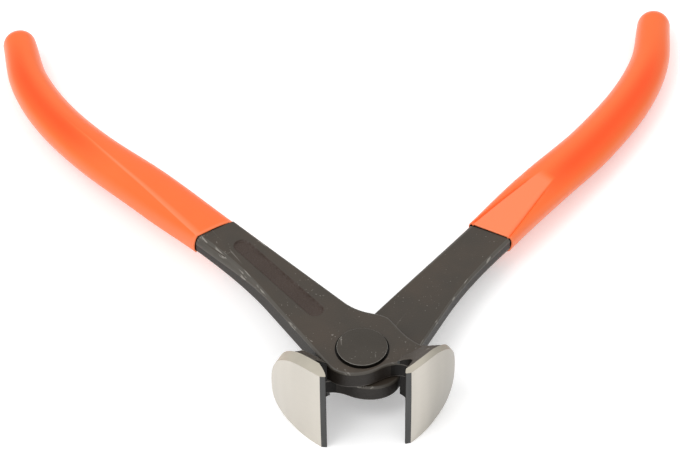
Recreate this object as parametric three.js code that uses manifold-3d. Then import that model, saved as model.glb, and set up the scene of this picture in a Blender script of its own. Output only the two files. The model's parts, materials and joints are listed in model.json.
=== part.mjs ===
// End-cutting nippers: two copies of one forged lever cross at a riveted lap joint, and each handle
// wears a sleeve. Millimetres, +Z up. A half is drawn closed: the pivot is the Z axis, the laps meet
// at z = 0, the cutting edge lies on the plane x = 0 in front (-Y), and the handle runs back (+Y) on
// the -X side.
import * as THREE from 'three';
import { mergeVertices } from 'three/addons/utils/BufferGeometryUtils.js';
import Module from 'manifold-3d';

// Opening of each half at rest, and what is left to the open stop, in degrees
const halfOpening = 30.8;
const openingLeft = 3;

// Lap joint and arm
const lapThickness = 5.6;
const lapClearance = 0.3;
const outerReach = 10.9;
const outerDraft = 0.6;
const outerStraight = 30;
const earReach = 12.85;
const earStraight = 4.5;
const crotchX = 5.9;
const crotchY = 18;
const crotchRound = 8;
const stopClearance = 0.3;

// Jaw
const edgeReach = 21.1;
const edgeClearance = 0.3;
const jawHeight = 29;
const headWidth = 39.4;
const headSquareness = 2.4;
const noseRadius = 40;
const bevelWidth = 1.5;
const bevelDepth = 0.85;
const crownDepth = 2.05;
const rampGap = 1.4;
const flareRadius = 20.5;
const hollowWidth = 13.8;
const hollowGap = 1.7;
const edgeLand = 3.5;

// Bare stamped oval on the arm's outer face
const ovalLength = 38.4;
const ovalWidth = 5;
const ovalDepth = 0.3;
const ovalFromGrip = 8;
const ovalOffset = 2.3;

// Rivet
const shankRadius = 4.2;
const shankClearance = 0.1;
const headRadius = 7.1;
const headHeight = 0.8;
const headSeat = 0.1;
const tailRadius = 6.6;
const tailHeight = 1.3;
const tailSeat = 0.05;
const rimRound = 0.3;

// Handle: the spine's points run from the sleeve's mouth to the centre of its round end
const spinePoints = [[-9.45, 63.5], [-14.9, 91], [-19.9, 114], [-22.1, 136], [-20.4, 155], [-14.6, 172]];
const tipHeight = 1.2;
const armWidth = 13.4;
const armEdge = 1.4;
const innerEdge = 0.4;
const partingHeight = 1.6;
const mouthGap = 0.3;
const tangWidth = 10.6;
const tangTipWidth = 7;
const tangTipThickness = 4;
const tangShoulder = 0.4;
const tangStop = 13;

// Sleeve: its mouth stands out by a lip over the arm's end, and the swells are what it stands out over a
// plain wall, a quarter, half and three quarters along
const mouthLip = 0.6;
const sleeveWall = 1.2;
const sleeveFit = 0.3;
const widthSwells = [2.8, 2.75, 2.15];
const heightSwells = [1.75, 3.2, 3.6];
const tipDiameter = 10.4;
const mouthSquareness = 4;
const gripSquareness = 2.2;
const squareStretch = 0.4;

// Facets, and how far the round end's last ring is turned towards its pole, in degrees
const roundSteps = 72;
const curveSteps = 12;
const spineSteps = 24;
const ringSteps = 32;
const capSteps = 6;
const capTurn = 84;

const halfHeight = jawHeight / 2;
const lapFace = lapClearance / 2;
const armMiddle = (lapFace + lapThickness) / 2;
const armThickness = lapThickness - lapFace;
const tangThickness = armThickness - 2 * tangShoulder;
const rampStart = Math.max(headRadius, tailRadius) + rampGap;
const hollowBack = Math.max(headRadius, tailRadius) + hollowGap;
const beyond = jawHeight + headWidth + noseRadius;

const wasm = await Module();
wasm.setup();

const { degToRad, lerp, smoothstep } = THREE.MathUtils;
const at = (x, y) => new THREE.Vector2(x, y);

const toSolid = (geometry) => {
  const bare = geometry.clone();
  bare.deleteAttribute('normal');
  bare.deleteAttribute('uv');
  const merged = mergeVertices(bare);
  return new wasm.Manifold(new wasm.Mesh({
    numProp: 3,
    vertProperties: Float32Array.from(merged.attributes.position.array),
    triVerts: Uint32Array.from(merged.index.array),
  }));
};

const toGeometry = (solid) => {
  const mesh = solid.getMesh();
  const geometry = new THREE.BufferGeometry();
  geometry.setAttribute('position', new THREE.Float32BufferAttribute(mesh.vertProperties, 3));
  geometry.setIndex(Array.from(mesh.triVerts));
  geometry.computeVertexNormals();
  return geometry;
};

// The triangles of a convex end cap.
const fan = (count) => Array.from({ length: count - 2 }, (_, i) => [0, i + 1, i + 2]);

// A closed skin through rings of equal point counts, with the triangles of its two end caps.
const skin = (rings, firstCap, lastCap) => {
  const count = rings[0].length;
  const last = (rings.length - 1) * count;
  const index = [];
  for (let row = 0; row < last; row += count) {
    for (let i = 0; i < count; i += 1) {
      const next = (i + 1) % count;
      index.push(row + i, row + next, row + count + next);
      index.push(row + i, row + count + next, row + count + i);
    }
  }
  firstCap.forEach(([a, b, c]) => index.push(a, c, b));
  lastCap.forEach(([a, b, c]) => index.push(last + a, last + b, last + c));
  const geometry = new THREE.BufferGeometry();
  const positions = rings.flat().flatMap((point) => point.toArray());
  geometry.setAttribute('position', new THREE.Float32BufferAttribute(positions, 3));
  geometry.setIndex(index);
  return geometry;
};

// A plate between two anticlockwise outlines of equal point counts, one at each height.
const flat = (point, height) => new THREE.Vector3(point.x, point.y, height);
const sideways = (point, reach) => new THREE.Vector3(reach, point.x, point.y);
const lengthways = (point, reach) => new THREE.Vector3(point.y, reach, point.x);
const plate = (lowOutline, highOutline, low, high, place = flat) => toSolid(skin(
  [lowOutline.map((point) => place(point, low)), highOutline.map((point) => place(point, high))],
  THREE.ShapeUtils.triangulateShape(lowOutline, []),
  THREE.ShapeUtils.triangulateShape(highOutline, []),
));

const upright = (radiusX, radiusY, x, y) => {
  const geometry = new THREE.CylinderGeometry(1, 1, 2 * beyond, roundSteps);
  geometry.rotateX(Math.PI / 2);
  geometry.scale(radiusX, radiusY, 1);
  geometry.translate(x, y, 0);
  return toSolid(geometry);
};

const bend = (...points) => new THREE.CubicBezierCurve(...points).getPoints(curveSteps);

// The spine leaves the arm's middle plane at the mouth and sinks towards the lap plane at the tip.
const spine = new THREE.CatmullRomCurve3(spinePoints.map(([x, y], i) => new THREE.Vector3(
  x, y, lerp(armMiddle, tipHeight, i / (spinePoints.length - 1)),
)));
const spineLength = spine.getLength();
const tangLength = spineLength - tangStop;

// A place at a distance along the spine; a distance below 0 lies straight before the mouth.
const onSpine = (distance) => {
  const t = Math.max(distance / spineLength, 0);
  const along = spine.getTangentAt(t);
  return { along, centre: spine.getPointAt(t).addScaledVector(along, Math.min(distance, 0)) };
};

// A ring of points across the spine; x steps away from the other handle and y up.
const ring = ({ along, centre }, offsets) => {
  const side = new THREE.Vector3(-along.y, along.x, 0).normalize();
  const up = new THREE.Vector3().crossVectors(along, side);
  return offsets.map(({ x, y }) => centre.clone().addScaledVector(side, x).addScaledVector(up, y));
};

// Width and thickness of the tang at a distance along the spine.
const tangSize = (distance) => {
  const share = Math.max(distance, 0) / tangLength;
  return at(lerp(tangWidth, tangTipWidth, share), lerp(tangThickness, tangTipThickness, share));
};

// The tang is a tapered bar; a growth gives the hollow of the sleeve.
const tang = (from, to, growth = 0) => {
  const rings = Array.from({ length: spineSteps + 1 }, (_, i) => {
    const distance = lerp(from, to, i / spineSteps);
    const size = tangSize(distance);
    const x = size.x / 2 + growth;
    const y = size.y / 2 + growth;
    return ring(onSpine(distance), [at(-x, -y), at(x, -y), at(x, y), at(-x, y)]);
  });
  return toSolid(skin(rings, fan(rings[0].length), fan(rings[0].length)));
};

// Plan of arm and lap, from just before the sleeve; the outer edge stands out by the draft, and each edge
// is drawn in by its trim at the sleeve.
const leverOutline = (draft, outerTrim, innerTrim) => {
  const outer = outerReach + draft;
  const reach = armWidth / 2;
  const ends = [at(reach - outerTrim, 0), at(innerTrim - reach, 0)];
  const [outerEnd, innerEnd] = ring(onSpine(-mouthGap), ends);
  const heading = spine.getTangentAt(0);
  const sweep = (outerEnd.y - outerStraight) / 3;
  const outerEdge = bend(at(outerEnd.x, outerEnd.y),
    at(outerEnd.x - sweep * heading.x / heading.y, outerEnd.y - sweep),
    at(-outer, outerStraight + sweep), at(-outer, outerStraight));
  const lapFront = new THREE.EllipseCurve(0, 0, outer, hollowBack, Math.PI, 1.5 * Math.PI);
  const lean = (crotchX - innerEnd.x) / (innerEnd.y - crotchY);
  const ear = bend(at(earReach, earStraight), at(earReach, 2 * earStraight),
    at(crotchX + lean * crotchRound, crotchY - crotchRound), at(crotchX, crotchY));
  return [...outerEdge, ...lapFront.getPoints(curveSteps), at(0, -rampStart), at(earReach, -rampStart),
    ...ear, at(innerEnd.x, innerEnd.y)];
};

// A power that squares an oval's sine or cosine.
const soften = (value, squareness) => Math.sign(value) * Math.abs(value) ** (2 / squareness);

// Front view of the jaw, as height and width: full height at the cutting edge, drawn in to the arm's middle.
const jawFront = () => {
  const oval = Array.from({ length: 2 * curveSteps + 1 }, (_, i) => {
    const angle = Math.PI * i / (2 * curveSteps);
    const rise = soften(Math.cos(angle), headSquareness);
    const side = Math.sign(rise) * halfHeight - armMiddle;
    return at(armMiddle + Math.abs(rise) * side, headWidth / 2 * soften(Math.sin(angle), headSquareness));
  });
  return [at(-halfHeight, -edgeClearance), at(halfHeight, -edgeClearance), ...oval];
};

// The jaw's block: that front, a round nose, and ramps up and down from the lap to the cutting edge.
const jawBlock = () => {
  const front = edgeReach + bevelDepth;
  const slope = (halfHeight - lapThickness) / (edgeReach - crownDepth - rampStart);
  const frontHeight = lapThickness + slope * (front - rampStart);
  const profile = [at(0, -lapThickness), at(0, lapThickness), at(-rampStart, lapThickness),
    at(-front, frontHeight), at(-front, -frontHeight), at(-rampStart, -lapThickness)];
  return plate(profile, profile, edgeClearance / 2, headWidth, sideways)
    .intersect(plate(jawFront(), jawFront(), -beyond, beyond, lengthways))
    .intersect(upright(noseRadius, noseRadius, 0, noseRadius - front));
};

// Below the lap the jaw ends in a flat that meets the other arm's outer wall at the open stop.
const stopCut = () => {
  const reach = outerReach + outerDraft + stopClearance;
  const block = new THREE.BoxGeometry(2 * beyond, 2 * beyond, beyond);
  block.translate(reach - beyond, 0, lapFace - beyond / 2);
  block.rotateZ(-degToRad(2 * halfOpening + openingLeft));
  return toSolid(block);
};

// The hollow behind the edge: an upright oval hole, with flats from its flanks to the cutting edge.
const hollowCut = () => {
  const halfLength = (edgeReach - edgeLand - hollowBack) / 2;
  const centre = hollowBack + halfLength;
  const share = halfLength / (edgeReach - centre);
  const flankX = hollowWidth / 2 * Math.sqrt(1 - share * share);
  const flankY = -centre - share * halfLength;
  const flats = [at(0, -edgeReach), at(flankX, flankY), at(-flankX, flankY)];
  return upright(hollowWidth / 2, halfLength, 0, -centre).add(plate(flats, flats, -beyond, beyond));
};

// The narrow bevel in front of the edge, cut on past the nose.
const bevelCut = () => {
  const past = 2;
  const low = -edgeReach - past * bevelDepth;
  const outline = [at(0, -edgeReach), at(-past * bevelWidth, low), at(past * bevelWidth, low)];
  return plate(outline, outline, -beyond, beyond);
};

// The bare oval is pressed along the arm's middle, from near the sleeve towards the joint.
const ovalCut = () => {
  const [mouthX, mouthY] = spinePoints[0];
  const from = at(mouthX + ovalOffset, mouthY);
  const along = at((crotchX - outerReach) / 2, crotchY).sub(from).normalize();
  const radius = ovalWidth / 2;
  const first = from.clone().addScaledVector(along, ovalFromGrip + radius);
  const last = from.clone().addScaledVector(along, ovalFromGrip + ovalLength - radius);
  const turn = along.angle();
  const arc = ({ x, y }, start) => new THREE.EllipseCurve(x, y, radius, radius, start, start + Math.PI);
  const outline = [...arc(last, turn - Math.PI / 2).getPoints(curveSteps),
    ...arc(first, turn + Math.PI / 2).getPoints(curveSteps)];
  return plate(outline, outline, lapThickness - ovalDepth, lapThickness + ovalDepth);
};

// Arm and lap; at the sleeve the arm is widest at the forging's parting line and narrower on both faces.
const lever = () => {
  const parting = leverOutline(lerp(outerDraft, -outerDraft, partingHeight / armThickness), 0, 0);
  const partingLevel = lapFace + partingHeight;
  return plate(leverOutline(outerDraft, armEdge, armEdge), parting, lapFace, partingLevel)
    .add(plate(parting, leverOutline(-outerDraft, armEdge, innerEdge), partingLevel, lapThickness));
};

const forging = () => {
  const boreRadius = shankRadius + shankClearance;
  const solid = lever()
    .add(tang(-tangWidth, tangLength))
    .add(jawBlock().subtract(stopCut()))
    .subtract(upright(flareRadius, flareRadius, earReach + flareRadius, 0))
    .subtract(hollowCut())
    .subtract(bevelCut())
    .subtract(upright(boreRadius, boreRadius, 0, 0))
    .subtract(ovalCut());
  return toGeometry(solid);
};

// A sleeve's section is a rounded rectangle at the mouth and an oval along the grip; its end is round.
const gripSection = (width, height, squareness) => Array.from({ length: ringSteps }, (_, i) => {
  const angle = 2 * Math.PI * i / ringSteps;
  const x = soften(Math.cos(angle), squareness);
  const y = soften(Math.sin(angle), squareness);
  return at(x * width / 2, y * height / 2);
});

const gripRings = () => {
  const wall = 2 * (sleeveFit + sleeveWall);
  const swollen = widthSwells.map((swell, i) => {
    const share = (i + 1) / (widthSwells.length + 1);
    return tangSize(share * spineLength).add(at(wall + swell, wall + heightSwells[i]));
  });
  const sizes = new THREE.SplineCurve([
    at(armWidth, armThickness).addScalar(2 * mouthLip),
    ...swollen,
    at(tipDiameter, tipDiameter),
  ]);
  const body = Array.from({ length: spineSteps + 1 }, (_, i) => {
    const t = i / spineSteps;
    const size = sizes.getPoint(t);
    const squareness = lerp(mouthSquareness, gripSquareness, smoothstep(t, 0, squareStretch));
    return ring(onSpine(t * spineLength), gripSection(size.x, size.y, squareness));
  });
  const { along, centre } = onSpine(spineLength);
  const cap = Array.from({ length: capSteps }, (_, i) => {
    const turn = degToRad(capTurn * (i + 1) / capSteps);
    const width = tipDiameter * Math.cos(turn);
    const outward = centre.clone().addScaledVector(along, tipDiameter / 2 * Math.sin(turn));
    return ring({ along, centre: outward }, gripSection(width, width, gripSquareness));
  });
  return [...body, ...cap];
};

const sleeve = () => {
  const solid = toSolid(skin(gripRings(), fan(ringSteps), fan(ringSteps)))
    .subtract(tang(-sleeveWall, tangLength + sleeveFit, sleeveFit));
  return toGeometry(solid);
};

const rivet = () => {
  const tailBottom = -lapThickness - tailSeat - tailHeight;
  const headBottom = lapThickness + headSeat;
  const profile = [
    at(0, tailBottom),
    at(tailRadius - rimRound, tailBottom),
    at(tailRadius, tailBottom + rimRound),
    at(tailRadius, -lapThickness - tailSeat),
    at(shankRadius, -lapThickness - tailSeat),
    at(shankRadius, headBottom),
    at(headRadius, headBottom),
    at(headRadius, headBottom + headHeight - rimRound),
    at(headRadius - rimRound, headBottom + headHeight),
    at(0, headBottom + headHeight),
  ];
  const geometry = new THREE.LatheGeometry(profile, roundSteps);
  geometry.rotateX(Math.PI / 2);
  return toGeometry(toSolid(geometry));
};

const piece = (name, geometry, finish) => {
  const mesh = new THREE.Mesh(geometry, new THREE.MeshStandardMaterial(finish));
  mesh.name = name;
  return mesh;
};

const blackSteel = { color: 0x3a3632, roughness: 0.45, metalness: 0.9 };
const rivetSteel = { color: 0x423d38, roughness: 0.5, metalness: 0.9 };
const orangePlastic = { color: 0xf2642b, roughness: 0.35, metalness: 0 };
const forged = forging();
const dipped = sleeve();

const upper = new THREE.Group();
upper.rotation.z = degToRad(halfOpening);
upper.add(piece('upper_half', forged, blackSteel), piece('upper_grip', dipped, orangePlastic));

const turnedOver = new THREE.Group();
turnedOver.rotation.y = Math.PI;
turnedOver.add(piece('lower_half', forged, blackSteel), piece('lower_grip', dipped, orangePlastic));
const lower = new THREE.Group();
lower.rotation.z = -degToRad(halfOpening);
lower.add(turnedOver);

// The origin is the middle of the rivet head's flat top.
const nippers = new THREE.Group();
nippers.position.z = -(lapThickness + headSeat + headHeight);
nippers.add(upper, lower, piece('pivot_rivet', rivet(), rivetSteel));

export default nippers;
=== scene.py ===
# %% [markdown]
# A pair of end nippers, lesson by lesson. Two copies of one black forged lever cross at a rivet, their
# fronts are ground bright around a wide cutting edge, and their handles wear orange plastic sleeves. The
# frame holds the real sizes and the hinge; here every piece gets its finished surface in that frame.

# %% Load the frame
import json
from math import acos, atan2, cos, pi, radians, sin, sqrt

import bmesh
import bpy
from mathutils import Matrix, Vector
from mathutils.geometry import interpolate_bezier


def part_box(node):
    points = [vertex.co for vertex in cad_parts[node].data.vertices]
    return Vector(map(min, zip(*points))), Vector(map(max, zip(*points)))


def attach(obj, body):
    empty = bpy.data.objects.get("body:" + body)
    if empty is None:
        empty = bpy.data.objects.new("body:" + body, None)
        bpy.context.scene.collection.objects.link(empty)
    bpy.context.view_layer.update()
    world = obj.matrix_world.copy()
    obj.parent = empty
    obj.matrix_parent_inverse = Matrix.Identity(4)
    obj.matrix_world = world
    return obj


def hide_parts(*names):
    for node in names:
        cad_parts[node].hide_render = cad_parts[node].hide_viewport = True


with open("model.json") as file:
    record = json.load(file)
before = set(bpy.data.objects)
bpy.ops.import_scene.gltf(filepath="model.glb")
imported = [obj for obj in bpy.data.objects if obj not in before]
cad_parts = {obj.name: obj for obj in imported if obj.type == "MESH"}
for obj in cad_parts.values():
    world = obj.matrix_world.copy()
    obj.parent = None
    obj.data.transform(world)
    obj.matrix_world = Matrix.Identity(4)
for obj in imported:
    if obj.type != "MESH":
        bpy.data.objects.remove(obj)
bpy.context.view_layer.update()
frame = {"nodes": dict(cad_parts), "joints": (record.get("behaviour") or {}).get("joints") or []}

scene = bpy.context.scene
scene.view_settings.view_transform = "Standard"
print("nodes:", sorted(frame["nodes"]))

# %% [markdown]
# Both levers come from one forging, so one half is modelled and then placed twice. It is drawn closed, in
# millimetres: the rivet stands on the Z axis, the two laps would meet at z = 0, the cutting edge is in
# front and the handle runs back on the left. The hinge's range tells how far each half is opened at rest.

# %% Where each half stands
mm = 0.001
hinge = frame["joints"][0]
half_opening = -hinge["range_deg"][0] / 2
opening_left = hinge["range_deg"][1]

lap_thickness, lap_face = 5.6, 0.15
head_seat, head_height = 0.1, 0.8
lap_level = -(lap_thickness + head_seat + head_height)

to_metres = Matrix.Scale(mm, 4)
lift = Matrix.Translation((0, 0, lap_level))
upper_place = to_metres @ lift @ Matrix.Rotation(radians(half_opening), 4, "Z")
turned_over = Matrix.Rotation(pi, 4, "Y")
lower_place = to_metres @ lift @ Matrix.Rotation(radians(-half_opening), 4, "Z") @ turned_over
print(f"each half is opened by {half_opening:.1f} degrees")

# %% [markdown]
# The camera comes early, because every later choice is judged through it. A long lens from about three
# quarters of a metre flattens the object as a catalogue picture does. We could drag the camera by eye,
# but three angles, a distance and a point to aim at say the same thing and can be read again later.

# %% Camera
photo_width = 680
sensor_mm = 36.0
focal_px = 2600
camera_distance = 763.8 * mm
camera_yaw = radians(-2.15)
camera_pitch = radians(44.44)
camera_roll = radians(-0.9)
camera_aim = Vector((-3.57, 54.35, lap_level)) * mm

level_back = Vector((sin(camera_yaw), -cos(camera_yaw), 0))
backward = level_back * cos(camera_pitch) + Vector((0, 0, sin(camera_pitch)))
level_right = Vector((cos(camera_yaw), sin(camera_yaw), 0))
right = Matrix.Rotation(camera_roll, 3, backward) @ level_right
axes = Matrix((right, backward.cross(right), backward)).transposed()

camera_data = bpy.data.cameras.new("camera")
camera_data.sensor_width = sensor_mm
camera_data.lens = focal_px * sensor_mm / photo_width
camera_data.clip_start = 0.01
camera = bpy.data.objects.new("camera", camera_data)
camera.matrix_world = Matrix.Translation(camera_aim + backward * camera_distance) @ axes.to_4x4()
scene.collection.objects.link(camera)
scene.camera = camera
print(f"lens {camera_data.lens:.1f} mm, {camera_distance / mm:.0f} mm away")

# %% [markdown]
# Procedural finishes are sums: grain plus scratches, darker where a mask says so. Node by node that is
# slow to write and slow to read. A small class that wraps one output socket lets Python's own operators
# add the Math nodes, so a line of shader maths reads like a line of maths.

# %% Shader maths as expressions
class Wire:
    """One output socket of a finish; arithmetic on it adds Math nodes."""

    def __init__(self, finish, socket):
        self.finish = finish
        self.socket = socket

    def math(self, operation, *values):
        return self.finish.node("ShaderNodeMath", {"operation": operation}, dict(enumerate(values)))

    def __add__(self, other):
        return self.math("ADD", self, other)

    def __sub__(self, other):
        return self.math("SUBTRACT", self, other)

    def __rsub__(self, other):
        return self.math("SUBTRACT", other, self)

    def __mul__(self, other):
        return self.math("MULTIPLY", self, other)

    __radd__ = __add__
    __rmul__ = __mul__

    def step(self, low, high):
        """0 below low and 1 above high, with a soft rise between."""
        sockets = {"Value": self, "From Min": low, "From Max": high}
        return self.finish.node("ShaderNodeMapRange", {"interpolation_type": "SMOOTHSTEP"}, sockets)


class Finish:
    """A material's or a world's node tree; its nodes are added by expressions."""

    def __init__(self, owner, shader="Principled BSDF"):
        owner.use_nodes = True
        self.owner = owner
        self.tree = owner.node_tree
        self.shader = self.tree.nodes[shader]

    def plug(self, socket, value):
        if isinstance(value, Wire):
            self.tree.links.new(value.socket, socket)
        else:
            socket.default_value = value

    def node(self, kind, settings, sockets, output=0):
        made = self.tree.nodes.new(kind)
        for name, value in settings.items():
            setattr(made, name, value)
        for name, value in sockets.items():
            self.plug(made.inputs[name], value)
        return Wire(self, made.outputs[output])

    def mix(self, share, first, second):
        return self.node("ShaderNodeMix", {"data_type": "RGBA"}, {0: share, 6: first, 7: second}, 2)

    def set(self, sockets):
        for name, value in sockets.items():
            self.plug(self.shader.inputs[name], value)


print("shader maths is ready")

# %% [markdown]
# Every finish gets its name now and its nodes later: a shape has to know which finishes it carries, while
# their looks are easier to judge when all the shapes are there.

# %% Names of the finishes
def new_finish(name):
    return Finish(bpy.data.materials.new(name))


black_oxide = new_finish("black_oxide")
# Worn rims, also lighter as a painted highlight.
worn_and_highlit_rim = new_finish("worn_and_highlit_rim")
# Walls darker than the oxide, as painted shade.
painted_shade_wall = new_finish("painted_shade_wall")
ground_face = new_finish("ground_face")
ground_band = new_finish("ground_band")
edge_strip = new_finish("edge_strip")
stamped_oval = new_finish("stamped_oval")
rivet_black = new_finish("rivet_black")
# The rivet head's worn rim, also lighter as a painted highlight.
rivet_rim_worn_and_highlit = new_finish("rivet_rim_worn_and_highlit")
# Near-black painted shade for hollows, for the gaps around the rivet head and for the sleeves' throats.
painted_shade = new_finish("painted_shade")
orange_sleeve = new_finish("orange_sleeve")
print("finishes:", [finish.name for finish in bpy.data.materials])

# %% [markdown]
# Every shape starts as an outline, a list of points in millimetres. Straight runs, arcs and Bezier bends
# are enough for all the drawings here, and one soft step lets a round or a ridge fade along its way.

# %% Outlines
def flat(x, y):
    return Vector((x, y, 0))


def smooth(value):
    """0 below zero and 1 above one, with a soft rise between."""
    value = min(max(value, 0), 1)
    return value * value * (3 - 2 * value)


def blend(first, second, share):
    return first + (second - first) * share


def bend(*points, steps=16):
    return interpolate_bezier(*points, steps + 1)


def arc(centre, radius_x, radius_y, start, end, steps=16):
    turns = [radians(blend(start, end, i / steps)) for i in range(steps + 1)]
    return [centre + flat(radius_x * cos(turn), radius_y * sin(turn)) for turn in turns]


print("outlines are ready")

# %% [markdown]
# Most of the shapes are lofts: a row of closed outlines with skin between them. With two outlines that is
# a prism, with a hundred it is a bent handle. Bridging the loops keeps the script free of face lists, and
# the two ends are closed with one face each. A gap between two outlines can be given its own finish.

# %% Lofts
upright = Matrix.Identity(3)
lengthways = Matrix(((1, 0, 0), (0, 0, 1), (0, 1, 0)))


def loft(rings, gap_finish=None):
    """A closed bmesh with skin through rings of equal point counts."""
    shape = bmesh.new()
    loops = []
    for ring in rings:
        corners = [shape.verts.new(point) for point in ring]
        loops.append([shape.edges.new(pair) for pair in zip(corners, corners[1:] + corners[:1])])
    for gap, (first, second) in enumerate(zip(loops, loops[1:])):
        for face in bmesh.ops.bridge_loops(shape, edges=first + second)["faces"]:
            face.material_index = (gap_finish or {}).get(gap, 0)
    bmesh.ops.edgeloop_fill(shape, edges=loops[0])
    bmesh.ops.edgeloop_fill(shape, edges=loops[-1])
    bmesh.ops.recalc_face_normals(shape, faces=shape.faces)
    return shape


def prism(low_outline, high_outline, low, high, turn=upright):
    low_ring = [turn @ (point + Vector((0, 0, low))) for point in low_outline]
    high_ring = [turn @ (point + Vector((0, 0, high))) for point in high_outline]
    return loft([low_ring, high_ring])


def solid(name, shape, finishes):
    mesh = bpy.data.meshes.new(name)
    shape.to_mesh(mesh)
    shape.free()
    for finish in finishes:
        mesh.materials.append(finish.owner)
    made = bpy.data.objects.new(name, mesh)
    scene.collection.objects.link(made)
    return made


print("lofts are ready")

# %% [markdown]
# Boolean cuts and unions do what forging dies, drills and grinding wheels do. Each one is applied at
# once, so that the next step works on a plain mesh. The exact solver copes with faces that touch.

# %% Joining and cutting
def combine(base, tool, operation):
    """Joins a tool shape to a base object, or cuts with it, and uses the tool up."""
    joiner = base.modifiers.new("combine", "BOOLEAN")
    joiner.operation = operation
    joiner.solver = "EXACT"
    joiner.object = tool
    evaluated = base.evaluated_get(bpy.context.evaluated_depsgraph_get())
    base.data = bpy.data.meshes.new_from_object(evaluated)
    base.modifiers.clear()
    bpy.data.objects.remove(tool)


print("joining and cutting are ready")

# %% [markdown]
# The handle bends away from the other one and back again. Its spine is a smooth curve through a few
# points chosen on the real shape. Walking it by length, not by point, keeps the sleeve's rings evenly
# spaced.

# %% Spine of the handle
spine_points = [(-9.45, 63.5), (-14.9, 91), (-19.9, 114), (-22.1, 136), (-20.4, 155), (-14.6, 172)]
arm_middle = (lap_thickness + lap_face) / 2
spine_heights = [arm_middle, 2.2, 1.5, 1.2, 1.2, 1.2]
spine_samples = 400


def through(points, share):
    """A point on the smooth curve through vectors, at a share of the way."""
    before, after = 2 * points[0] - points[1], 2 * points[-1] - points[-2]
    padded = [before, *points, after]
    spans = len(points) - 1
    at = min(int(share * spans), spans - 1)
    u = share * spans - at
    a, b, c, d = padded[at:at + 4]
    return b + 0.5 * u * (c - a + u * (2 * a - 5 * b + 4 * c - d + u * (3 * (b - c) + d - a)))


spine_knots = [Vector((x, y, z)) for (x, y), z in zip(spine_points, spine_heights)]
spine_line = [through(spine_knots, i / spine_samples) for i in range(spine_samples + 1)]
spine_reach = [0.0]
for near, far in zip(spine_line, spine_line[1:]):
    spine_reach.append(spine_reach[-1] + (far - near).length)
spine_length = spine_reach[-1]


def on_spine(distance):
    """Centre, side and up at a distance along the spine, which runs on straight before its start."""
    i = max(1, next((k for k, reach in enumerate(spine_reach) if reach >= distance), spine_samples))
    along = (spine_line[i] - spine_line[i - 1]).normalized()
    centre = spine_line[i - 1] + along * (distance - spine_reach[i - 1])
    side = Vector((-along.y, along.x, 0)).normalized()
    return centre, side, along.cross(side)


print(f"the sleeve's spine is {spine_length:.1f} mm long")

# %% [markdown]
# Arm, lap and neck are one plate. It starts just before the sleeve, widens to the round lap under the
# rivet, and leaves as a neck between the hollow and the flare of the jaw. The outer wall leans a little,
# so the plan is drawn twice, for the lap's side and for the outer side.

# %% Plan of arm and lap
outer_reach, outer_draft, outer_straight = 10.9, 0.6, 30
lap_side_draft, outer_side_draft = 0.8, 0.35
ear_reach, ear_straight = 12.85, 4.5
crotch, crotch_round = flat(5.9, 18), 8
arm_outer, arm_inner = 6.3, 6.7
mouth_gap, mouth_slant = 0.45, 0.18
edge_reach, edge_land = 21.1, 3.5
hollow_back, hollow_width = 8.8, 13.8
flare_radius, flare_tuck = 20.5, 39
neck_tuck = flat(10, -15.5)
inner_steps = 16

hollow_half = (edge_reach - edge_land - hollow_back) / 2
hollow_centre = flat(0, -hollow_back - hollow_half)
flare_centre = flat(ear_reach + flare_radius, 0)


def lever_plan(draft):
    outer = outer_reach + draft
    centre, side, _ = on_spine(-mouth_gap)
    across = side + flat(side.y, -side.x) * mouth_slant
    outer_end = flat(centre.x, centre.y) + across * arm_outer
    inner_end = flat(centre.x, centre.y) - across * arm_inner
    sweep = (outer_end.y - outer_straight) / 3
    heading = flat(side.y, -side.x) * sweep / -side.x
    lean = (crotch.x - inner_end.x) / (inner_end.y - crotch.y)
    outer_edge = bend(outer_end, outer_end - heading, flat(-outer, outer_straight + sweep),
                      flat(-outer, outer_straight))
    lap_front = arc(flat(0, 0), outer, hollow_back, 180, 270)
    neck = arc(hollow_centre, hollow_width / 2, hollow_half, 90, 0)
    flare = arc(flare_centre, flare_radius, flare_radius, 180 + flare_tuck, 180)
    ear = bend(flat(ear_reach, ear_straight), flat(ear_reach, 2 * ear_straight),
               crotch + flat(lean, -1) * crotch_round, crotch)
    inner_edge = [crotch.lerp(inner_end, (i + 1) / inner_steps) for i in range(inner_steps)]
    return outer_edge + lap_front + neck[1:] + [neck_tuck] + flare + ear + inner_edge


lap_plan, outer_plan = lever_plan(lap_side_draft), lever_plan(outer_side_draft)
plan_end = len(lap_plan) - 1
plan_ways = [lap_plan[min(i + 1, plan_end)] - lap_plan[max(i - 1, 0)] for i in range(plan_end + 1)]
inward = [flat(-way.y, way.x).normalized() for way in plan_ways]
print(f"plan of arm and lap: {len(lap_plan)} points")

# %% [markdown]
# A drop forging has a parting line, where the two dies met, and generous rounds that grow towards the
# handle. A bevel could round the rims evenly, but here the round has to fade, so each ring around the
# plate is drawn in by its own share of a quarter circle whose radius depends on the place. The rounds get
# a worn finish, lighter as a painted highlight, the wall between them a darker one as painted shade, and
# the hollow beside the lap is painted near-black as shade.

# %% Arm and lap
lap_round = 0.6
outer_rounds, inner_rounds = (0.9, 2.3), (1.2, 0.7)
round_from, round_to = 22, 60
round_steps = 5
hollow_shade_from = 3.5
arm_start = -2.5
OXIDE, WORN_AND_HIGHLIT, SHADED_WALL, FACE, BAND, STRIP, OVAL, PAINTED_SHADE = range(8)
half_finishes = [black_oxide, worn_and_highlit_rim, painted_shade_wall, ground_face,
                 ground_band, edge_strip, stamped_oval, painted_shade]
arm_lean = (spine_points[0][0] - arm_start) / (spine_points[0][1] - crotch.y)


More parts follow.
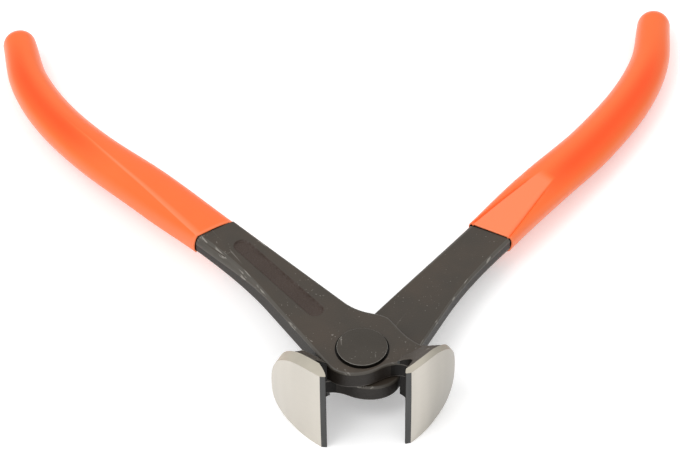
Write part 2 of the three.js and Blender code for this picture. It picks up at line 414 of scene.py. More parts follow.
def rim_round(point, side):
    """The round's radius at a place of the plan, on the lap's side (0) or the outer side (1)."""
    middle = arm_start + arm_lean * (point.y - crotch.y)
    at_mouth = (outer_rounds if point.x < middle else inner_rounds)[side]
    return blend(lap_round, at_mouth, smooth((point.y - round_from) / (round_to - round_from)))


def lever_ring(side, turn):
    ring = []
    for low, high, way in zip(lap_plan, outer_plan, inward):
        radius = rim_round(low, side)
        rise = radius * (1 - sin(turn))
        level = lap_thickness - rise if side else lap_face + rise
        share = (level - lap_face) / (lap_thickness - lap_face)
        ring.append(low.lerp(high, share) + way * radius * (1 - cos(turn)) + Vector((0, 0, level)))
    return ring


rim_turns = [pi / 2 * i / round_steps for i in range(round_steps + 1)]
plate_rings = [lever_ring(0, turn) for turn in reversed(rim_turns)]
plate_rings += [lever_ring(1, turn) for turn in rim_turns]
# Rims are worn and lighter as a painted highlight; the wall between them is darker as painted shade.
side_gaps = {gap: WORN_AND_HIGHLIT for gap in range(2 * round_steps + 1)}
side_gaps[round_steps] = SHADED_WALL
plate = loft(plate_rings, side_gaps)
# Wall faces in the hollow beside the lap get near-black painted shade.
for face in plate.faces:
    middle = face.calc_center_median()
    if face.material_index == SHADED_WALL and middle.x > hollow_shade_from and middle.y < -hollow_back:
        face.material_index = PAINTED_SHADE
half = solid("upper_lever", plate, half_finishes)
print(f"arm and lap: {len(half.data.polygons)} faces")

# %% [markdown]
# The jaw is what a smith would file to three drawings. Seen from above it has a round nose, a flared back
# and the hollow behind the edge; from the side, ramps rise from the neck to the cutting edge; from the
# front it is a squarish half oval. Three blocks, one for each drawing, leave exactly that shape where
# they overlap. The nose is barrelled: its plan is drawn again at each height, and slants back more above
# and below.

# %% Plan of the jaw
jaw_height, head_width, head_squareness = 29, 39.4, 2.8
half_height = jaw_height / 2
bevel_width, bevel_depth, edge_gap, edge_lean = 1.5, 0.85, 0.15, 1.4
bevel_slant = bevel_depth / bevel_width
nose_radius, barrel_slope, barrel_reach = 40, 0.1, 12
front = edge_reach + bevel_depth
hollow_play, hollow_from, hollow_to = 0.1, 45, -10
flank_start, flank_end = flat(-0.4, -2.6), flat(2.05, 2.95)
flare_to, back_corner = 203, flat(9, -8.5)
head_steps = 20


def squared(value):
    return abs(value) ** (2 / head_squareness)


def nose_at(x, z):
    round_back = nose_radius - sqrt(nose_radius ** 2 - x ** 2)
    barrel = barrel_slope * min(x, barrel_reach) * (z / half_height) ** 2
    return flat(x, round_back + barrel - front)


head_turns = [pi / 2 * i / head_steps for i in range(head_steps + 1)]
head_reaches = [head_width / 2 * squared(sin(turn)) for turn in head_turns]

hollow_wall = arc(hollow_centre, hollow_width / 2 + hollow_play, hollow_half + hollow_play,
                  hollow_from, hollow_to)
edge_back = flat(edge_gap, -edge_reach + edge_lean * edge_gap)
flank = bend(hollow_wall[-1], hollow_wall[-1] + flank_start, edge_back + flank_end, edge_back)
flare_turn = acos((flare_centre.x - head_width / 2) / flare_radius) * 180 / pi
flare_wall = arc(flare_centre, flare_radius - hollow_play, flare_radius - hollow_play,
                 180 + flare_turn, flare_to)


def jaw_plan(z):
    nose = [nose_at(x, z) for x in head_reaches if x > bevel_width + edge_gap]
    edge = [flat(edge_gap, -edge_reach - edge_gap * bevel_slant), nose_at(bevel_width, z)]
    return edge + nose + flare_wall + [back_corner] + hollow_wall + flank[1:]


print(f"plan of the jaw: {len(jaw_plan(0))} points")

# %% [markdown]
# The side view's two ramps end at the bright land behind the nose, and both the nose and the oval move
# with x. One side outline would leave the land wider in some places than in others, so the ramps are
# drawn anew for every millimetre across the jaw.

# %% Side view of the jaw
outer_land, lap_land = 2.1, 3.9
ramp_foot, ramp_knee = flat(-6.5, 5.0), flat(-10, 5.4)
ramp_pull, ramp_drop, ease_from, ramp_steps = 4, 4.6, 5, 12
ramp_end_slope, lowest_rise, overshoot = 1.15, 6.0, 1


def oval_height(x, top):
    rise = (1 - min(x / (head_width / 2), 1) ** head_squareness) ** (1 / head_squareness)
    return blend(arm_middle, top, rise)


def ramp(x, top, land):
    """The side view's rise from the neck to the bright land behind the nose, and on past it."""
    height = oval_height(max(x, 0), top)
    rise = max(abs(height), lowest_rise)
    end = nose_at(max(x, 0), height).y + land
    ease = (rise - ease_from) / (half_height - ease_from)
    shoulder = flat(end + ramp_pull * ease, rise - ramp_drop * ease)
    curve = bend(ramp_foot, ramp_knee, shoulder, flat(end, rise), steps=ramp_steps)
    past = front + overshoot + end
    return curve + [flat(end - past, rise + ramp_end_slope * past)]


def side_ring(x):
    outer_ramp = [Vector((x, point.x, point.y)) for point in ramp(x, half_height, outer_land)]
    lap_ramp = [Vector((x, point.x, -point.y)) for point in ramp(x, -half_height, lap_land)]
    return outer_ramp + lap_ramp[::-1]


print(f"side view of the jaw: {len(side_ring(0))} points")

# %% [markdown]
# The front view is half of a squarish oval around the arm's middle height. It reaches a little past the
# middle plane, where the plan's own edge ends the shape.

# %% Front view of the jaw
def oval_side(top):
    heights = [blend(arm_middle, top, squared(cos(turn))) for turn in head_turns]
    return [flat(x, height) for x, height in zip(head_reaches, heights)]


outer_oval, lap_oval = oval_side(half_height), oval_side(-half_height)
jaw_front = [flat(-overshoot, half_height), *outer_oval, *lap_oval[-2::-1], flat(-overshoot, -half_height)]
print(f"front view of the jaw: {len(jaw_front)} points")

# %% [markdown]
# Overlapping the three blocks is two Boolean cuts. A third one takes away the corner under the lap, so
# that a flat there can meet the other arm's wall when the nippers are wide open, as their stop.

# %% Jaw
far_away, side_reach, block_room, height_steps = 60, 22, 0.1, 16
stop_clearance, stop_play = 0.3, 0.2
block_height = half_height + block_room
heights = [blend(-block_height, block_height, i / height_steps) for i in range(height_steps + 1)]
nose_block = loft([[point + Vector((0, 0, z)) for point in jaw_plan(z)] for z in heights])

jaw = solid("jaw", nose_block, half_finishes)
side_block = loft([side_ring(x) for x in range(-overshoot, side_reach)])
front_block = prism(jaw_front, jaw_front, -far_away, far_away, lengthways)
combine(jaw, solid("side", side_block, []), "INTERSECT")
combine(jaw, solid("front", front_block, []), "INTERSECT")

stop_reach = outer_reach + outer_draft + stop_clearance
stop_level = lap_face + stop_play
stop_block = bmesh.new()
bmesh.ops.create_cube(stop_block, size=2 * far_away)
stop_place = (stop_reach - far_away, 0, stop_level - far_away)
bmesh.ops.translate(stop_block, verts=stop_block.verts, vec=stop_place)
stop_turn = Matrix.Rotation(-radians(2 * half_opening + opening_left), 3, "Z")
bmesh.ops.rotate(stop_block, verts=stop_block.verts, cent=(0, 0, 0), matrix=stop_turn)
combine(jaw, solid("stop", stop_block, []), "DIFFERENCE")
print(f"jaw: {len(jaw.data.polygons)} faces")

# %% [markdown]
# Grinding leaves sharp but not razor-thin edges, so the jaw's rims are broken by a quarter of a
# millimetre. The cutting edge itself stays as it is. The faces then take their finish from where they
# lie: the nose is ground bright, the oval's wall shows as a bright band, the narrow strip before the edge
# is darker, the hollow behind it is painted near-black as shade, and the other walls get painted shade.

# %% Jaw edges and ground faces
jaw_round, jaw_round_steps = 0.25, 2
sharp, same_plane = radians(30), radians(0.8)
merge_distance, strip_room = 1e-4, 0.05
strip_match, front_facing, nose_reach = 0.99, 0.4, 0.3
tilted, band_from = 0.3, 1


def jaw_finish(face):
    middle = face.calc_center_median()
    normal = face.normal
    if normal.dot(strip_normal) > strip_match:
        return STRIP
    if normal.y < -front_facing and abs(middle.y - nose_at(middle.x, middle.z).y) < nose_reach:
        return FACE
    on_oval = abs(normal.z) > tilted or middle.x > hollow_width
    if on_oval and abs(normal.y) < tilted and abs(middle.z) > band_from:
        return BAND
    if abs(normal.z) > tilted:
        return OXIDE
    # Walls inside the hollow get near-black painted shade, the other walls a lighter painted shade.
    return PAINTED_SHADE if middle.x < hollow_width / 2 + hollow_play else SHADED_WALL


shape = bmesh.new()
shape.from_mesh(jaw.data)
bmesh.ops.remove_doubles(shape, verts=shape.verts, dist=merge_distance)
bmesh.ops.dissolve_limit(shape, angle_limit=same_plane, verts=shape.verts, edges=shape.edges)
past_strip = bevel_width + strip_room
crisp = [edge for edge in shape.edges
         if edge.calc_face_angle(0) > sharp and min(corner.co.x for corner in edge.verts) > past_strip]
bmesh.ops.bevel(shape, geom=crisp, offset=jaw_round, segments=jaw_round_steps, affect="EDGES",
                profile=0.5, material=-1, clamp_overlap=True)
shape.normal_update()
strip_normal = Vector((-bevel_depth, -bevel_width, 0)).normalized()
for face in shape.faces:
    face.material_index = jaw_finish(face)
shape.to_mesh(jaw.data)
shape.free()
print("ground faces:", sum(face.material_index in (FACE, BAND, STRIP) for face in jaw.data.polygons))

# %% [markdown]
# Under the sleeve the lever goes on as a tapered tang, a loft along the spine with four corners to a
# ring. It starts well inside the arm, so that the two shapes overlap and a Boolean union makes them one
# forging.

# %% Tang
tang_width, tang_tip_width, tang_tip_thickness = 10.6, 7, 4
tang_shoulder, tang_stop = 0.4, 13
tang_thickness = lap_thickness - lap_face - 2 * tang_shoulder
tang_length = spine_length - tang_stop
tang_from, tang_steps = -tang_width, 24


def tang_size(distance):
    share = max(distance, 0) / tang_length
    width = blend(tang_width, tang_tip_width, share)
    return Vector((width, blend(tang_thickness, tang_tip_thickness, share)))


def tang_ring(distance):
    half_size = tang_size(distance) / 2
    centre, side, up = on_spine(distance)
    corners = ((-1, -1), (1, -1), (1, 1), (-1, 1))
    return [centre + side * half_size.x * x + up * half_size.y * y for x, y in corners]


tang_run = tang_length - tang_from
tang = loft([tang_ring(tang_from + tang_run * i / tang_steps) for i in range(tang_steps + 1)])
combine(half, solid("tang", tang, half_finishes), "UNION")
combine(half, jaw, "UNION")
print(f"arm, tang and jaw: {len(half.data.polygons)} faces")

# %% [markdown]
# The arm's outer face has a shallow stamped oval. The cutter is a round-ended prism whose walls lean, as
# a stamp's do, and its faces bring their own rough finish along into the cut.

# %% Stamped oval
oval_length, oval_width, oval_depth = 38.4, 5, 0.4
oval_from_grip, oval_offset = 8, 2.3


def oval_outline(half_width):
    start = flat(*spine_points[0]) + flat(oval_offset, 0)
    along = (flat((crotch.x - outer_reach) / 2, crotch.y) - start).normalized()
    turn = atan2(along.y, along.x) * 180 / pi
    first = start + along * (oval_from_grip + oval_width / 2)
    last = start + along * (oval_from_grip + oval_length - oval_width / 2)
    far_end = arc(last, half_width, half_width, turn - 90, turn + 90)
    near_end = arc(first, half_width, half_width, turn + 90, turn + 270)
    return far_end + near_end


oval = prism(oval_outline(oval_width / 2 - oval_depth), oval_outline(oval_width / 2 + oval_depth),
             lap_thickness - oval_depth, lap_thickness + oval_depth)
for face in oval.faces:
    face.material_index = OVAL
combine(half, solid("oval", oval, half_finishes), "DIFFERENCE")
print(f"with the oval: {len(half.data.polygons)} faces")

# %% [markdown]
# The rivet's hole and a round spot face for its head are drilled, and both are painted near-black as
# shade. Each point then remembers its place on the closed half, so that wear can later run along the bar.
# The half is copied for the other lever, and both are moved to where they stand. Weighted normals keep the
# big flat faces flat in the light, right up to their rounded rims.

# %% Rivet hole and the two levers
head_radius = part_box("pivot_rivet")[1].x / mm
shank_radius, hole_play = 4.2, 0.1
spot_depth, spot_room = 0.5, 0.5
turn_steps, metal_smooth = 96, 32


def finish_mesh(piece, place, smooth_angle):
    piece.data.transform(place)
    piece.data.shade_smooth()
    piece.data.set_sharp_from_angle(angle=radians(smooth_angle))
    piece.data.update()


def copy_of(piece, name):
    made = bpy.data.objects.new(name, piece.data.copy())
    scene.collection.objects.link(made)
    return made


for name, radius, depth in (("spot face", head_radius + spot_room, spot_depth),
                            ("rivet hole", shank_radius + hole_play, lap_thickness + spot_depth)):
    drill = bmesh.new()
    bmesh.ops.create_cone(drill, cap_ends=True, segments=turn_steps, radius1=radius, radius2=radius,
                          depth=2 * depth, matrix=Matrix.Translation((0, 0, lap_thickness)))
    # The drilled faces get near-black painted shade.
    for face in drill.faces:
        face.material_index = PAINTED_SHADE
    combine(half, solid(name, drill, half_finishes), "DIFFERENCE")

bar_places = [length * mm for corner in half.data.vertices for length in corner.co]
half.data.attributes.new("bar_place", "FLOAT_VECTOR", "POINT").data.foreach_set("vector", bar_places)
other_half = copy_of(half, "lower_lever")
for piece, place in ((half, upper_place), (other_half, lower_place)):
    finish_mesh(piece, place, metal_smooth)
    weighted = piece.modifiers.new("flat faces", "WEIGHTED_NORMAL")
    weighted.keep_sharp = True
print(f"each half: {len(half.data.polygons)} faces, {len(half.data.vertices)} corners")

# %% [markdown]
# The rivet is turned, so half its profile swept once around the axis makes it. Its head has a low, flat
# top with a tight rim, worn and lighter as a painted highlight. It sits in the spot face; the narrow gap
# around it and the head's wall are painted near-black as shade, so they show as a dark line.

# %% Rivet
tail_radius, tail_height, tail_seat = 6.6, 1.3, 0.05
rivet_rim, dome, undercut = 0.2, 0.05, 0.1
rim_steps = 4
wall_facing, top_facing = 0.2, 0.95
RIVET_RIM, SHADED_RIVET_WALL = 1, 2


def upstand(radius, level):
    return Vector((radius, 0, level))


def rim(radius, level, inward_sign, start):
    """A rounded corner of the profile, in the XZ plane."""
    centre = upstand(radius - rivet_rim, level + inward_sign * rivet_rim)
    turns = [radians(start + 90 * i / rim_steps) for i in range(rim_steps + 1)]
    return [centre + upstand(rivet_rim * cos(turn), rivet_rim * sin(turn)) for turn in turns]


spot_floor = lap_thickness - spot_depth
tail_top, head_bottom = -spot_floor - tail_seat, spot_floor + head_seat
tail_bottom, head_top = -lap_thickness - tail_seat - tail_height, lap_thickness + head_seat + head_height
profile = [upstand(0, tail_bottom), *rim(tail_radius, tail_bottom, 1, -90), upstand(tail_radius, tail_top)]
profile += [upstand(shank_radius, tail_top), upstand(shank_radius, head_bottom)]
profile += [upstand(head_radius - undercut, head_bottom), *rim(head_radius, head_top - dome, -1, 0)]
profile += [upstand(head_radius / 2, head_top - dome / 4), upstand(0, head_top)]
shape = bmesh.new()
points = [shape.verts.new(point) for point in profile]
outline = [shape.edges.new(pair) for pair in zip(points, points[1:])]
bmesh.ops.spin(shape, geom=points + outline, cent=(0, 0, 0), axis=(0, 0, 1), angle=2 * pi,
               steps=turn_steps, use_merge=True)
bmesh.ops.remove_doubles(shape, verts=shape.verts, dist=merge_distance)
bmesh.ops.recalc_face_normals(shape, faces=shape.faces)
shape.normal_update()
# The head's wall gets near-black painted shade; its rim is worn and lighter as a painted highlight.
for face in shape.faces:
    if face.normal.z < wall_facing:
        face.material_index = SHADED_RIVET_WALL
    elif face.normal.z < top_facing:
        face.material_index = RIVET_RIM
rivet = solid("rivet", shape, [rivet_black, rivet_rim_worn_and_highlit, painted_shade])
finish_mesh(rivet, to_metres @ lift, metal_smooth)
print(f"rivet: {len(rivet.data.polygons)} faces")

# %% [markdown]
# Each sleeve is a soft plastic tube pushed over its tang. Its mouth follows the flat bar, and further
# along it swells to an oval that fills the hand. The outer side keeps a soft ridge, which starts near one
# side wall, wanders to the middle and fades past half way. Here t is the share of the sleeve's length.

# %% Outer side of a sleeve
mouth_squareness, grip_squareness, square_fade = 3.8, 2.1, 0.6
crest_mouth, crest_end, crest_run = 0.8, -0.05, 0.5
ridge_from, ridge_to = 0.3, 0.68
crest_spacing, ridge_steps = 1.35, 18
crease = radians(65)


def powered(value, squareness):
    return (1 if value > 0 else -1) * abs(value) ** (2 / squareness)


def ridge_share(t):
    return 1 - smooth((t - ridge_from) / (ridge_to - ridge_from))


def outer_side(half_width, rise, t):
    """Points over the outer side: a round side wall, a ridge, and a flat that falls off beyond it."""
    squareness = blend(mouth_squareness, grip_squareness, smooth(t / square_fade))
    crest = half_width * blend(crest_mouth, crest_end, min(t / crest_run, 1))
    pull = (half_width - crest) / (1 - cos(crease))
    ridged = ridge_share(t)
    points = []
    for i in range(2 * ridge_steps + 1):
        past = i / ridge_steps - 1
        turn = pi / 2 * (1 + (past ** crest_spacing if past > 0 else past))
        x, height = powered(cos(turn), squareness), powered(sin(turn), squareness)
        ridge_x, ridge_height = crest + (half_width + crest) * x, height
        if i <= ridge_steps:
            ridge_x = half_width - pull * (1 - cos(crease * i / ridge_steps))
            ridge_height = sin(crease * i / ridge_steps) / sin(crease)
        points.append((blend(half_width * x, ridge_x, ridged), rise * blend(height, ridge_height, ridged)))
    return points


print(f"outer side: {len(outer_side(half_width=1, rise=1, t=0))} points")

# %% [markdown]
# The lap's side starts as a flat panel between two thin grooves, which run together to a round tip. Its
# two halves are alike, so only one is drawn. Further along, the same points move over to a plain round.

# %% Lap's side of a sleeve
panel_mouth, panel_end, panel_tip, tip_round = 0.76, 0.3, 0.245, 0.035
groove_width, groove_depth = 0.9, 0.45
side_steps, panel_steps = 12, 6


def panel_share(t, tip):
    """1 where the flat panel still is, and 0 past its tip."""
    return 1 - smooth((t - tip) / tip_round + 0.5)


def lap_side(half_width, drop, t):
    """Points from the widest place to the middle of the lap's side, as x and depth."""
    panel = half_width * blend(panel_mouth, panel_end, min(t / panel_tip, 1))
    ridge = panel + groove_width
    pull = (half_width - ridge) / (1 - cos(crease))
    deep = 1 / sin(crease)
    points = []
    for i in range(1, side_steps + 1):
        turn = crease * i / side_steps
        points.append((half_width - pull * (1 - cos(turn)), deep * sin(turn), 0))
    points.append((panel + groove_width / 2, 1, groove_depth))
    points += [(panel * (1 - i / panel_steps), 1, 0) for i in range(panel_steps + 1)]
    placed = []
    for x, depth, groove in points:
        tip = panel_tip - tip_round * min(x / ridge, 1) ** 2
        flatness = panel_share(t, tip)
        round_depth = sqrt(1 - (x / half_width) ** 2)
        placed.append((x, drop * blend(round_depth, depth, flatness) - groove * flatness))
    return placed


print(f"half of the lap's side: {len(lap_side(half_width=7, drop=3, t=0))} points")

# %% [markdown]
# A section puts both sides together around the spine. At the mouth its widest place lies low, near the
# bar's parting line, and it rises to the middle as the handle gets round.

# %% Section of a sleeve
grip_sizes = [Vector((14.3, 6.4)), Vector((15.4, 9.2)), Vector((14.3, 10.5)),
              Vector((12.7, 10.7)), Vector((10.4, 10.4))]
mouth_lip, parting_height = 0.45, 1.6
waist_fade, mouth_shift = 0.45, 0.3


def section(t, shrink=0.0):
    """The sleeve's outline at a share of its length, around the spine, with y towards the outer side."""
    size = through(grip_sizes, t) / 2
    low_waist = mouth_lip + parting_height - lap_face
    waist = blend(low_waist - size.y, 0, smooth(t / waist_fade))
    outer_points = outer_side(size.x - shrink, size.y - waist - shrink, t)
    lap_points = lap_side(size.x - shrink, size.y + waist - shrink, t)
    right_half = [(x, waist - depth) for x, depth in lap_points]
    left_half = [(-x, y) for x, y in right_half]
    outline = [(x, waist + y) for x, y in outer_points] + left_half + right_half[-2::-1]
    shift = mouth_shift * (1 - smooth(t / waist_fade))
    return [(x - shift, y) for x, y in outline]


print(f"a sleeve's ring has {len(section(0))} points")

# %% [markdown]
# The orange isn't the same all over: light and shade are painted into it. A number at each point tells
# where the plastic gets a painted highlight (the ridge and the panel), painted light from the table (the
# side away from the other handle) or painted shade (a wide, soft stripe beside the middle).

# %% Painted light and shade on the plastic
# Painted highlight on the ridge, painted table light on the far side, painted shade in the stripe.
ridge_highlight = 1.3
side_table_light, table_light_from = 0.6, 0.72
shade_middle, shade_width, shade_fade = 0.36, 0.75, 0.25
outer_shade, lap_shade = (0.35, 1.05), (0.1, 0.95)


def painted_light_of(t):
    """How much painted highlight (1) or painted shade (-1) the plastic gets at each point of a section."""
    half_width = through(grip_sizes, t).x / 2
    ridge, panel = ridge_highlight * ridge_share(t), panel_share(t, panel_tip)
    outer_count, panel_from = 2 * ridge_steps + 1, 2 * ridge_steps + side_steps + 2
    painted_values = []
    for i, (x, _) in enumerate(section(t)):
        off_middle = abs(x / half_width - shade_middle) / shade_width
        start, end = outer_shade if i < outer_count else lap_shade
        along = smooth((t - start) / shade_fade) * smooth((end - t) / shade_fade)
        # Painted shade in the stripe, and painted table light rising towards the far side.
        painted_light = -along * (1 - smooth(off_middle))
        painted_light += side_table_light * smooth((x / half_width - table_light_from) / (1 - table_light_from))
        # The ridge gets a painted highlight, and the panel a painted reflection.
        if i == ridge_steps:
            painted_light += ridge
        if panel_from <= i <= panel_from + 2 * panel_steps:
            painted_light = blend(painted_light, 1, panel)
        painted_values.append(painted_light)
    return painted_values


end_painted_light, mouth_painted_light = painted_light_of(1), painted_light_of(0)
print(f"tint at the mouth: {min(mouth_painted_light):.2f} to {max(mouth_painted_light):.2f}")

# %% [markdown]
# The rings are strung along the spine from the round end to the mouth, which is cut at a slant. The
# mouth's lip turns in over a third of a millimetre to a short throat, and the bore goes back along the
# tang with a little room around it. The lip gets a painted highlight, and the throat and the bore are
# painted near-black as shade.

# %% Sleeves
tip_radius = 5.2
lip_round, bore_room = 0.35, 0.4
grip_steps, cap_steps, bore_steps = 96, 10, 12
cap_share = 0.97
bore_squareness = 8
throat_depth, lip_highlight = 2.5, 0.7
SHADED_INSIDE = 1
slant_fade, sleeve_smooth = 25, 60


def strung(distance, outline):
    """An outline around the spine, slanted at the mouth, where the inner side is the longer one."""
    centre, side, up = on_spine(distance)
    slanted = side + side.cross(up) * mouth_slant * (1 - smooth(distance / slant_fade))
    return [centre + slanted * x + up * y for x, y in outline]


def cap_ring(turn):
    outline = [(x * cos(turn), y * cos(turn)) for x, y in section(1)]
    return strung(spine_length + tip_radius * sin(turn), outline)


def bore_ring(distance):
    half_size = tang_size(distance) / 2 + Vector((bore_room, bore_room))
    count = len(section(0))
    turns = [2 * pi * i / count for i in range(count)]
    return strung(distance, [(half_size.x * powered(cos(turn), bore_squareness),
                              half_size.y * powered(sin(turn), bore_squareness)) for turn in turns])


cap_turn = cap_share * pi / 2
cap = [cap_ring(cap_turn * i / cap_steps) for i in range(cap_steps, 0, -1)]
body = [strung(spine_length * i / grip_steps, section(i / grip_steps)) for i in range(grip_steps, 0, -1)]
lip = [strung(lip_round * (1 - sin(turn)), section(0, lip_round * (1 - cos(turn)))) for turn in rim_turns]
throat = [strung(throat_depth, section(0, lip_round))]
bore = [bore_ring(blend(throat_depth, tang_length, i / bore_steps)) for i in range(bore_steps + 1)]
# The throat and the bore get near-black painted shade.
inside_from = len(cap + body + lip) - 1
inside = {gap: SHADED_INSIDE for gap in range(inside_from, inside_from + len(throat + bore))}
grip = solid("upper_sleeve", loft(cap + body + lip + throat + bore, inside), [orange_sleeve, painted_shade])

values = end_painted_light * len(cap)
for i in range(grip_steps, 0, -1):
    values += painted_light_of(i / grip_steps)
# The lip's points are raised to at least a painted highlight.
values += [max(painted_light, lip_highlight) for painted_light in mouth_painted_light] * len(lip) + mouth_painted_light * len(throat + bore)
grip.data.attributes.new("painted_light", "FLOAT", "POINT").data.foreach_set("value", values)
other_grip = copy_of(grip, "lower_sleeve")
finish_mesh(grip, upper_place, sleeve_smooth)
finish_mesh(other_grip, lower_place, sleeve_smooth)
print(f"each sleeve: {len(grip.data.polygons)} faces")

# %% [markdown]
# Now the finishes. Noise alone is even all over, so each kind of mark is the product of two: a fine noise
# draws the marks, and a coarse one tells where they gather. Wear runs along the bar, so its noise reads
# each point's remembered place on the closed half, and is stretched that way.

# %% Grain, specks, scratches and dashes
even = (1, 1, 1)


def noise(finish, scale, detail=3.0, roughness=0.5, stretch=even, place=None):
    if place:
        coordinates = finish.node("ShaderNodeAttribute", {"attribute_name": place}, {}, "Vector")
    else:
        coordinates = finish.node("ShaderNodeTexCoord", {}, {}, "Object")
    mapped = finish.node("ShaderNodeMapping", {}, {"Vector": coordinates, "Scale": stretch})
    sockets = {"Vector": mapped, "Scale": scale, "Detail": detail, "Roughness": roughness}
    return finish.node("ShaderNodeTexNoise", {}, sockets)


def bump(finish, height, strength, distance):
    sockets = {"Height": height, "Strength": strength, "Distance": distance}
    finish.set({"Normal": finish.node("ShaderNodeBump", {}, sockets)})


def specks(finish):
    dots = noise(finish, scale=1500, detail=1).step(0.69, 0.75)
    patches = noise(finish, scale=120, detail=1).step(0.45, 0.6)
    return dots * patches


def scratches(finish, place=None):
    lines = noise(finish, scale=420, detail=2, stretch=(1, 0.05, 1), place=place).step(0.66, 0.7)
    patches = noise(finish, scale=160, detail=2).step(0.52, 0.62)
    return lines * patches


def dashes(finish, stretch=even, place=None):
    marks = noise(finish, scale=1300, stretch=stretch, place=place).step(0.55, 0.62)
    patches = noise(finish, scale=150, detail=1).step(0.5, 0.6)
    return marks * patches


print("marks are ready")

# %% [markdown]
# Black oxide is a thin brown-black skin over the forging's fine grain. Small pale specks show where it
# was knocked, and along the rims it is rubbed through in short dashes; the rims are also lighter, as a
# painted highlight, and the rivet's rim much lighter. The walls are darker as painted shade, the hollows,
# gaps and throats are near-black as painted shade, and the rough floor of the stamp is browner. All are
# the same skin in other colours, each with its own strength of reflection.

# %% Black oxide
bare_steel = (0.4, 0.375, 0.33)
speck_share, scratch_share = 0.35, 0.3
rim_share, rivet_rim_share = 0.5, 0.85


def oxide_skin(finish, dark, light, bare_share=0.0, ior=1.5, grain_scale=2400, relief=0.25, depth=0.0002):
    cloud = noise(finish, scale=70).step(0.3, 0.7)
    grain = noise(finish, scale=grain_scale, detail=2)
    skin = finish.mix(cloud * 0.6 + grain * 0.4, (*dark, 1), (*light, 1))
    colour = finish.mix(bare_share, skin, (*bare_steel, 1))
    finish.set({"Base Color": colour, "Roughness": 0.4 + grain * 0.2, "IOR": ior})
    bump(finish, grain + cloud * 0.5, relief, depth)


bar_marks = specks(black_oxide) * speck_share + scratches(black_oxide, "bar_place") * scratch_share
rim_marks = dashes(worn_and_highlit_rim, stretch=(1, 0.12, 1), place="bar_place") * rim_share
head_marks = specks(rivet_black) * speck_share + scratches(rivet_black) * scratch_share
head_rim_marks = dashes(rivet_rim_worn_and_highlit) * rivet_rim_share
oxide_skin(black_oxide, (0.034, 0.028, 0.02), (0.058, 0.04, 0.026), bar_marks)
# Rubbed-through dashes are real wear; the lighter base colour is a painted highlight.
oxide_skin(worn_and_highlit_rim, (0.042, 0.035, 0.025), (0.075, 0.064, 0.05), rim_marks, ior=1.6)
# Walls darker than the oxide, as painted shade.
oxide_skin(painted_shade_wall, (0.013, 0.0095, 0.007), (0.024, 0.018, 0.013), ior=1.4)
oxide_skin(rivet_black, (0.028, 0.021, 0.013), (0.041, 0.032, 0.022), head_marks)
# The rivet head's rim: worn dashes on a much lighter base, as a painted highlight.
oxide_skin(rivet_rim_worn_and_highlit, (0.075, 0.066, 0.053), (0.16, 0.145, 0.12), head_rim_marks, ior=2.0)
# Near-black painted shade for hollows, gaps and throats.
oxide_skin(painted_shade, (0.004, 0.003, 0.002), (0.01, 0.008, 0.006), ior=1.3)
oxide_skin(stamped_oval, (0.03, 0.015, 0.008), (0.056, 0.034, 0.024),
           grain_scale=800, relief=0.8, depth=0.0006)
print("black finishes built")

# %% [markdown]
# The ground fronts are bare steel. The wheel leaves fine lines across the jaw and broad strokes up it, so
# two noises are stretched those two ways, and the lines also move the roughness. One jaw's front and band
# turn greyer towards its far end, as painted shade. The strip before the edge is darker, with fine lines
# up it.

# %% Ground steel
across_jaw, up_jaw = (1, 1, 12), (1, 1, 0.1)
far_shade_from, far_shade_to = 0.013, 0.021
dull_share = 0.6
strip_dark, strip_light = (0.035, 0.035, 0.034, 1), (0.085, 0.085, 0.083, 1)
ground = [(ground_face, (0.632, 0.595, 0.533), 0.26), (ground_band, (0.68, 0.635, 0.54), 0.5)]
for finish, colour, polish in ground:
    lines = noise(finish, scale=300, detail=4, roughness=0.6, stretch=across_jaw)
    strokes = noise(finish, scale=90, detail=2, stretch=up_jaw).step(0.3, 0.7)
    place = finish.node("ShaderNodeTexCoord", {}, {}, "Object")
    # Painted shade: beyond a set x the front and band turn greyer, on one jaw's far end.
    far_end_shade = finish.node("ShaderNodeSeparateXYZ", {}, {"Vector": place}, "X").step(far_shade_from, far_shade_to)
    brightness = lines * 0.2 + strokes * 0.3 + 0.45 - far_end_shade * 0.65
    dull = [channel * dull_share for channel in colour]
    steel = finish.mix(brightness, (*dull, 1), (*colour, 1))
    finish.set({"Base Color": steel, "Metallic": 1.0, "Roughness": polish + lines * 0.12})
    bump(finish, lines, strength=0.08, distance=0.0001)

strip_lines = noise(edge_strip, scale=500, stretch=up_jaw)
strip_colour = edge_strip.mix(strip_lines, strip_dark, strip_light)
edge_strip.set({"Base Color": strip_colour, "Metallic": 0.5, "Roughness": 0.33 + strip_lines * 0.14})
bump(edge_strip, strip_lines, strength=0.1, distance=0.0001)
print("ground finishes built")

# %% [markdown]
# The sleeves are smooth, softly glossy plastic. Two oranges mix in faint clouds, and the painted light at
# each point pulls the colour towards a paler orange for painted highlights or a deeper one for painted
# shade. A very fine grain breaks up the reflections.

# %% Orange plastic
first_orange, second_orange = (0.95, 0.15, 0.024, 1), (0.98, 0.17, 0.032, 1)
highlight_orange, shade_orange = (0.98, 0.235, 0.09, 1), (0.97, 0.085, 0.004, 1)
mottle = noise(orange_sleeve, scale=60)
skin_grain = noise(orange_sleeve, scale=900, detail=2)
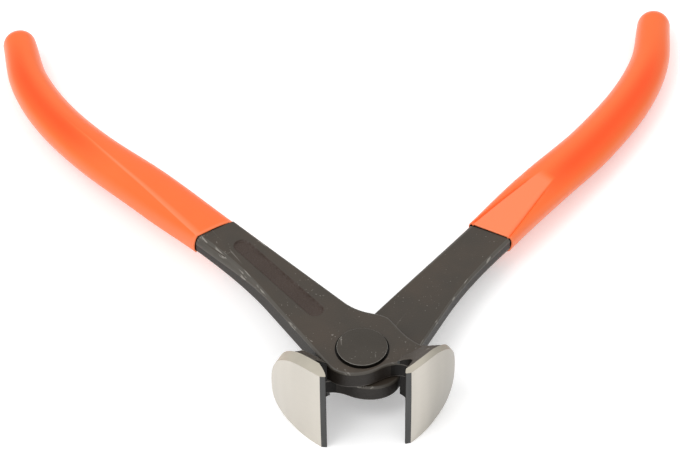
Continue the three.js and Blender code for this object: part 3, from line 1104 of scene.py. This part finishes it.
# Per point, above zero is painted highlight and below zero painted shade.
painted_light = orange_sleeve.node("ShaderNodeAttribute", {"attribute_name": "painted_light"}, {}, "Fac")
highlight_share = painted_light.math("MAXIMUM", painted_light, 0.0)
shade_share = painted_light.math("MAXIMUM", painted_light * -1, 0.0)
mottled = orange_sleeve.mix(mottle, first_orange, second_orange)
with_highlight = orange_sleeve.mix(highlight_share, mottled, highlight_orange)
with_shade = orange_sleeve.mix(shade_share, with_highlight, shade_orange)
sheen = 0.24 + mottle * 0.06 + skin_grain * 0.06
orange_sleeve.set({"Base Color": with_shade, "Roughness": sheen, "IOR": 1.42})
bump(orange_sleeve, skin_grain + mottle, strength=0.06, distance=0.0003)
print("plastic finish built")

# %% [markdown]
# The nippers lie on a plain pale table. They touch it with both jaws and with the lower sleeve, so the
# table is a plane through those places. To the camera and in reflections a part of its white is a plain
# glow; the rest takes the light, so a soft shadow stays under the tool.

# %% Table
jaw_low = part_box("lower_half")[0]
grip_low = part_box("lower_grip")[0].z
grip_touch, table_half = 0.115, 6
table_slope = atan2(grip_low - jaw_low.z, grip_touch - jaw_low.y)
plain_white = 0.27

shape = bmesh.new()
bmesh.ops.create_grid(shape, x_segments=1, y_segments=1, size=table_half)
table_white = new_finish("table_white")
table_white.set({"Base Color": (0.94, 0.94, 0.94, 1), "Roughness": 0.9})
table = solid("table", shape, [table_white])
table_place = Matrix.Translation((0, jaw_low.y, jaw_low.z)) @ Matrix.Rotation(table_slope, 4, "X")
table.data.transform(table_place)

rays = [table_white.node("ShaderNodeLightPath", {}, {}, f"Is {kind} Ray")
        for kind in ("Camera", "Glossy", "Transmission")]
seen = rays[0] + rays[1] + rays[2]
glow = table_white.node("ShaderNodeEmission", {}, {"Color": (1, 1, 1, 1), "Strength": seen * plain_white})
lit = Wire(table_white, table_white.shader.outputs[0])
surface = table_white.node("ShaderNodeAddShader", {}, {0: lit, 1: glow})
table_white.plug(table_white.tree.nodes["Material Output"].inputs["Surface"], surface)
print(f"table slope {table_slope * 180 / pi:.2f} degrees")

# %% [markdown]
# A bright, even room and one wide lamp, above, to the left and in front, give soft shadows and no hard
# glints. Together they light a level surface at about full strength, so colours come out about as they
# are written.

# %% Light
sky_horizon, sky_top = 0.75, 0.95
room = bpy.data.worlds.new("room")
air = Finish(room, "Background")
direction = air.node("ShaderNodeTexCoord", {}, {}, "Generated")
height = air.node("ShaderNodeSeparateXYZ", {}, {"Vector": direction}, "Z")
sky = sky_horizon + height.step(0.0, 1.0) * (sky_top - sky_horizon)
air.set({"Color": (1, 1, 1, 1), "Strength": sky})
scene.world = room


def lamp(name, place, aim, size, watts):
    light = bpy.data.lights.new(name, "AREA")
    light.shape = "DISK"
    light.size = size
    light.energy = watts
    made = bpy.data.objects.new(name, light)
    direction = Vector(aim) - Vector(place)
    turn = direction.to_track_quat("-Z", "Y").to_matrix().to_4x4()
    made.matrix_world = Matrix.Translation(place) @ turn
    scene.collection.objects.link(made)


lamp("overhead", place=(-0.42, -0.2, 0.8), aim=(0, 0.05, 0), size=0.5, watts=2.4)
print("lamps:", [light.name for light in bpy.data.lights])

# %% [markdown]
# Last, a table gives each piece the body that carries it, the solid it stands for and its finish; each
# piece is attached to its body, and its solid in the frame is hidden.

# %% Bodies and the end
rides = [(half, "upper", "upper_half", "forged_steel"),
         (other_half, "lower", "lower_half", "forged_steel"),
         (rivet, "lower", "pivot_rivet", "rivet_steel"),
         (grip, "upper", "upper_grip", "orange_sleeve"),
         (other_grip, "lower", "lower_grip", "orange_sleeve")]
for piece, body, node, slot in rides:
    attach(piece, body)
    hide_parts(node)
